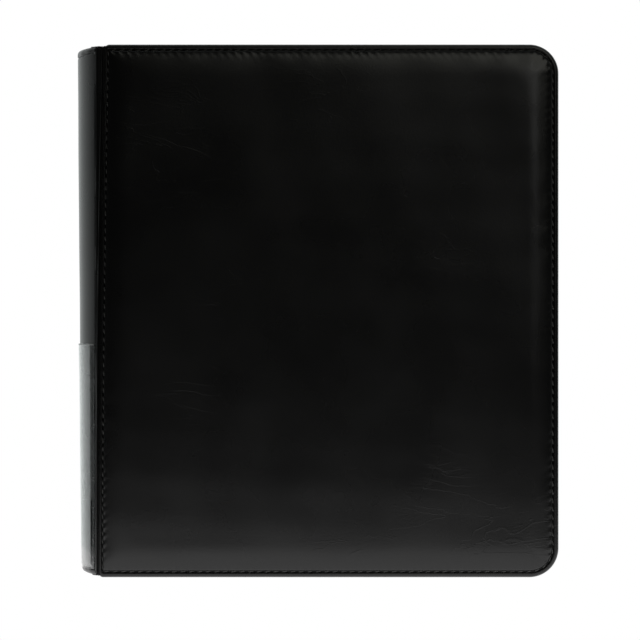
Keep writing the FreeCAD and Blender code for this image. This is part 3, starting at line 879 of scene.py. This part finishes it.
def bump(nodes, links, height_value, distance, strength, below=None):
    """Bump of a given depth in metres, over another bump if one is given."""
    node = nodes.new("ShaderNodeBump")
    node.inputs["Distance"].default_value = distance
    node.inputs["Strength"].default_value = strength
    links.new(height_value, node.inputs["Height"])
    if below is not None:
        links.new(below, node.inputs["Normal"])
    return node.outputs["Normal"]


# %% [markdown]
# ### Leatherette
# Coated cloth pressed with a leather grain: small rounded cells with fine lines between, over a
# faint unevenness. It is nearly black, so what the eye sees is mostly its soft reflection, and the
# depth of the grain and the roughness matter more than the colour.

# %% Leatherette and lining materials
CREASE_DEPTH = 0.00006        # metres, as every bump depth is


def sum_node(nodes, links, operation, first, second=None):
    """Output of a maths node on one value or two; a plain number is set on its own socket."""
    node = nodes.new("ShaderNodeMath")
    node.operation = operation
    for n, value in enumerate((first, second)):
        if isinstance(value, float):
            node.inputs[n].default_value = value
        elif value is not None:
            links.new(value, node.inputs[n])
    return node.outputs["Value"]


def crease_lines(nodes, links):
    """Bump of faint creases: thin bands where a stretched noise crosses its middle value, kept to
    some areas by a second, broad noise."""
    place = nodes.new("ShaderNodeTexCoord")
    stretch = nodes.new("ShaderNodeMapping")
    stretch.inputs["Scale"].default_value = (0.55, 1.0, 1.6)
    links.new(place.outputs["Object"], stretch.inputs["Vector"])
    folds = nodes.new("ShaderNodeTexNoise")
    folds.inputs["Scale"].default_value = 42.0
    folds.inputs["Detail"].default_value = 3.0
    folds.inputs["Distortion"].default_value = 1.2
    links.new(stretch.outputs["Vector"], folds.inputs["Vector"])
    size = sum_node(nodes, links, "ABSOLUTE", sum_node(nodes, links, "SUBTRACT", folds.outputs["Fac"], 0.5))
    line = ramp(nodes, links, size, 1.0, 0.0, 0.0, 0.014)
    broad = texture(nodes, links, "ShaderNodeTexNoise", 13.0, Detail=1.0)
    area = ramp(nodes, links, broad.outputs["Fac"], 0.0, 1.0, 0.52, 0.68)
    both = sum_node(nodes, links, "MULTIPLY", line, area)
    return bump(nodes, links, both, CREASE_DEPTH, 0.5)


def leatherette(name, dark, light, rough, cell=1050.0, depth=0.00005, strength=0.35):
    """Grained coated cloth; rough is the lowest and highest roughness."""
    material, nodes, links, surface = start_material(name)
    cells = texture(nodes, links, "ShaderNodeTexVoronoi", cell)
    cells.feature = "SMOOTH_F1"
    fine = texture(nodes, links, "ShaderNodeTexNoise", cell * 3.1, Detail=3.0)
    patch = texture(nodes, links, "ShaderNodeTexNoise", 22.0, Detail=4.0)
    links.new(tint(nodes, links, patch.outputs["Fac"], dark, light), surface.inputs["Base Color"])
    roughness = ramp(nodes, links, patch.outputs["Fac"], *rough, 0.3, 0.7)
    links.new(roughness, surface.inputs["Roughness"])
    crease = crease_lines(nodes, links)
    grain = bump(nodes, links, cells.outputs["Distance"], depth, strength, crease)
    relief = bump(nodes, links, fine.outputs["Fac"], depth * 0.4, strength, grain)
    links.new(relief, surface.inputs["Normal"])
    return material


black_leatherette = leatherette("black_leatherette", (0.0024, 0.0024, 0.0025), (0.0042, 0.0041, 0.0040),
                                (0.25, 0.31))
spine_leatherette = leatherette("glossy_spine_leatherette", (0.0035, 0.0036, 0.0038),
                                (0.0055, 0.0056, 0.0057), (0.24, 0.30), depth=0.00003, strength=0.25)
lining_vinyl = leatherette("lining_vinyl", (0.012, 0.012, 0.013), (0.02, 0.02, 0.021), (0.45, 0.55),
                           cell=1900.0)
pocket_vinyl = leatherette("pocket_vinyl", (0.011, 0.011, 0.012), (0.018, 0.018, 0.019), (0.34, 0.42),
                           cell=1500.0, depth=0.00003)
print("coated cloths: cover, spine, lining and pocket")

# %% [markdown]
# ### Thread, board, card, film and steel
# The other finishes use the same helpers. Twisted thread has slanted ridges, chipboard shows pressed
# fibres, and plated steel has a faint cloudiness and fine polishing lines.

# %% The other materials
def finish(name, base, rough, relief, colours=None):
    """Material whose colour and roughness follow one texture, given by kind, scale and sockets.

    rough holds the two ends of the roughness, and the texture values they stand at if not 0 and 1;
    relief holds the depth and strength of the bump. Returns also what a caller may change further."""
    material, nodes, links, surface = start_material(name)
    kind, scale, sockets = base
    pattern = texture(nodes, links, "ShaderNodeTex" + kind, scale, **sockets)
    if colours:
        links.new(tint(nodes, links, pattern.outputs["Fac"], *colours), surface.inputs["Base Color"])
    links.new(ramp(nodes, links, pattern.outputs["Fac"], *rough), surface.inputs["Roughness"])
    if relief:
        links.new(bump(nodes, links, pattern.outputs["Fac"], *relief), surface.inputs["Normal"])
    return material, pattern, surface


def chipboard_material():
    """Grey pressed board: a broad cloud for the colour and fine fibres for the surface."""
    material, nodes, links, surface = start_material("grey_chipboard")
    fibre = texture(nodes, links, "ShaderNodeTexNoise", 900.0, Detail=6.0)
    cloud = texture(nodes, links, "ShaderNodeTexNoise", 40.0, Detail=3.0)
    links.new(tint(nodes, links, cloud.outputs["Fac"], (0.22, 0.19, 0.15), (0.36, 0.32, 0.26)),
              surface.inputs["Base Color"])
    links.new(ramp(nodes, links, fibre.outputs["Fac"], 0.8, 0.95), surface.inputs["Roughness"])
    links.new(bump(nodes, links, fibre.outputs["Fac"], 0.0001, 0.6), surface.inputs["Normal"])
    return material


def steel_material(name, dark, light, rough, line_depth):
    """Steel with a faint cloudiness and fine polishing lines."""
    material, cloud, surface = finish(name, ("Noise", 120.0, {"Detail": 4.0}), (*rough, 0.3, 0.7), None,
                                      (dark, light))
    nodes, links = material.node_tree.nodes, material.node_tree.links
    surface.inputs["Metallic"].default_value = 1.0
    lines = texture(nodes, links, "ShaderNodeTexNoise", 2600.0, Detail=3.0)
    links.new(bump(nodes, links, lines.outputs["Fac"], line_depth, 0.3), surface.inputs["Normal"])
    return material


black_thread, twist, surface = finish("black_thread", ("Wave", 1100.0, {"Distortion": 2.0}), (0.5, 0.34),
                                      (0.00015, 0.6), ((0.035, 0.035, 0.034), (0.085, 0.085, 0.082)))
twist.bands_direction = "DIAGONAL"
grey_chipboard = chipboard_material()
dark_card = finish("dark_card", ("Noise", 1500.0, {"Detail": 5.0}), (0.14, 0.24), (0.00003, 0.3),
                   ((0.030, 0.031, 0.032), (0.045, 0.046, 0.046)))[0]
clear_film, _, surface = finish("clear_film", ("Noise", 60.0, {"Detail": 2.0}), (0.04, 0.12),
                                (0.0002, 0.2))
surface.inputs["Base Color"].default_value = (0.97, 0.98, 0.98, 1)
surface.inputs["Transmission Weight"].default_value = 1.0
surface.inputs["IOR"].default_value = 1.5
# the sealed edge's pale grey is partly a frosted seal and partly a painted highlight along the pocket's open
# edge
frosted_seal_and_highlight = finish("frosted_seal_and_painted_highlight", ("Noise", 400.0, {"Detail": 3.0}), (0.15, 0.3), (0.0001, 0.3),
                      ((0.20, 0.21, 0.21), (0.34, 0.35, 0.35)))[0]
plated_steel = steel_material("nickel_plated_steel", (0.66, 0.64, 0.60), (0.76, 0.74, 0.70), (0.14, 0.24),
                              0.00001)
bare_steel = steel_material("bare_spring_steel", (0.46, 0.45, 0.44), (0.56, 0.55, 0.53), (0.32, 0.45),
                            0.00003)
print("thread, board, card, film and steel ready")

# %% [markdown]
# ## Dress the pieces
# Every new piece gets its one finish, and every node that stays visible gets the matching finish
# here.

# %% Give every piece its finish
def dress(piece, material):
    """Give a piece its only material."""
    piece.data.materials.clear()
    piece.data.materials.append(material)


made = {
    "skin": (black_leatherette, ["front_cover_padded_skin", "rear_cover_padded_skin", "front_hinge_fold",
                                 "rear_hinge_fold"]),
    "thread": (black_thread, ["front_cover_stitches", "rear_cover_stitches"]),
    "board": (grey_chipboard, ["spine_chipboard"]),
    "lining": (lining_vinyl, ["spine_lining_sheet", "front_lining_panel", "rear_lining_panel"]),
    "pocket": (pocket_vinyl, ["front_inside_pocket", "rear_inside_pocket"]),
    "film": (clear_film, ["label_pocket_film"]),
    "card": (dark_card, ["blank_label_card"]),
}
for slot_name, (material, names) in made.items():
    for name in names:
        dress(bpy.data.objects[name], material)
dress(bpy.data.objects["spine_padded_skin"], spine_leatherette)
dress(bpy.data.objects["label_pocket_sealed_edge"], frosted_seal_and_highlight)

node_finish = {"plated_steel": plated_steel, "bare_steel": bare_steel, "board": grey_chipboard}
for node in frame["nodes"].values():
    for place in node.material_slots:
        kind = place.material.name.split(".")[0] if place.material else ""
        if kind in node_finish:
            place.material = node_finish[kind]
print("finishes:", len(bpy.data.materials))

# %% [markdown]
# ## Studio
# A dark glossy thing is drawn by what it reflects. Behind the binder stands a bright backdrop, which
# the curved spine picks up toward its outline; the space in front is dark, so the flat cover stays
# deep black; and one soft light from above draws the line along the top shoulder. The floor is one
# plain white glowing disc, the same from everywhere. It ends a short way in front, and it makes the
# foot of the cover a little lighter than its middle. To the camera the background is plain white,
# from every side; only reflections and light see the space that runs from dark to bright.

# %% World
world = bpy.data.worlds.new("studio")
bpy.context.scene.world = world
world.use_nodes = True
nodes, links = world.node_tree.nodes, world.node_tree.links
nodes.clear()
place = nodes.new("ShaderNodeTexCoord")
split = nodes.new("ShaderNodeSeparateXYZ")
links.new(place.outputs["Generated"], split.inputs["Vector"])
depth_map = nodes.new("ShaderNodeMapRange")
depth_map.inputs["From Min"].default_value = -1.0
links.new(split.outputs["Y"], depth_map.inputs["Value"])
fade = nodes.new("ShaderNodeValToRGB")
links.new(depth_map.outputs["Result"], fade.inputs["Fac"])
# brightness by direction, from straight in front of the cover (0) to straight behind it (1)
stops = [(0.0, 0.010), (0.5, 0.03), (0.545, 0.12), (0.62, 0.33), (0.71, 0.53), (0.86, 0.70), (1.0, 0.95)]
for n, (at, value) in enumerate(stops):
    stop = fade.color_ramp.elements[n] if n < 2 else fade.color_ramp.elements.new(at)
    stop.position = at
    stop.color = (value * 0.95, value, value * 0.99, 1)
seen = nodes.new("ShaderNodeLightPath")
studio_light = nodes.new("ShaderNodeBackground")
backdrop = nodes.new("ShaderNodeBackground")
backdrop.inputs["Color"].default_value = (1, 1, 1, 1)
backdrop.inputs["Strength"].default_value = 1.0
links.new(fade.outputs["Color"], studio_light.inputs["Color"])
pick = nodes.new("ShaderNodeMixShader")
links.new(seen.outputs["Is Camera Ray"], pick.inputs["Fac"])
links.new(studio_light.outputs["Background"], pick.inputs[1])
links.new(backdrop.outputs["Background"], pick.inputs[2])
out = nodes.new("ShaderNodeOutputWorld")
links.new(pick.outputs["Shader"], out.inputs["Surface"])
bpy.context.scene.view_settings.view_transform = "Standard"
print("world:", len(stops), "steps of brightness from front to back")

# %% Floor and lights
FLOOR_R = 360.0
FLOOR_DROP = 0.2              # below the foot of the binder
FLOOR_SIDES = 96
rings = np.array([0.5, 0.8, 1.0])[:, None] * FLOOR_R
turn = np.linspace(0, 2 * np.pi, FLOOR_SIDES, endpoint=False)[None, :]
floor_points = np.stack([rings * np.cos(turn), rings * np.sin(turn), -FLOOR_DROP + 0 * rings * turn], -1)
floor = add_mesh("studio_floor", floor_points.reshape(-1, 3), grid_faces(3, FLOOR_SIDES, wrap=True)[:, ::-1],
                 caps=[list(range(FLOOR_SIDES))])
material, nodes, links, surface = start_material("white_floor")
glow = nodes.new("ShaderNodeEmission")
links.new(glow.outputs["Emission"], nodes["Material Output"].inputs["Surface"])
nodes.remove(surface)
floor.data.materials.append(material)


def soft_light(name, place_m, aim_m, size, power):
    """Rectangular area light that faces a point."""
    lamp = bpy.data.lights.new(name, "AREA")
    lamp.shape = "RECTANGLE"
    lamp.size, lamp.size_y = size
    lamp.energy = power
    obj = bpy.data.objects.new(name, lamp)
    bpy.context.scene.collection.objects.link(obj)
    obj.location = place_m
    away = np.array(place_m) - np.array(aim_m)
    obj.rotation_euler = Vector(away.tolist()).to_track_quat("Z", "Y").to_euler()
    return obj


top_light = soft_light("top_softbox", (0.58, -1.20, 1.08), (0.08, 0, 0.25), (1.1, 1.35), 3.9)
top_light.data.color = (1.0, 1.0, 0.9)
soft_light("side_strip", (0.40, -1.45, 0.45), (0.12, 0, 0.20), (0.09, 0.42), 0.22)
print("studio ready")

# %% [markdown]
# ## Camera
# A long lens from far away, level with the middle of the cover and square on to it, so the sides
# stay parallel.

# %% Camera
camera_data = bpy.data.cameras.new("catalogue_camera")
camera_data.sensor_width = 36
VIEW_WIDE = 350.0             # millimetres across the view, at the front cover
AIM_X = 1.5                   # middle of the view from the middle of the binder
AIM_DOWN = 5.0
DISTANCE = 2500.0
camera_data.lens = 36 * DISTANCE / VIEW_WIDE
camera = bpy.data.objects.new("catalogue_camera", camera_data)
bpy.context.scene.collection.objects.link(camera)
cover_face = inner_y - full
camera.location = (AIM_X * MM, (cover_face - DISTANCE) * MM, (height / 2 - AIM_DOWN) * MM)
camera.rotation_euler = (np.pi / 2, 0, 0)
camera_data.clip_end = 20
bpy.context.scene.camera = camera
print("lens %.0f mm" % camera_data.lens)
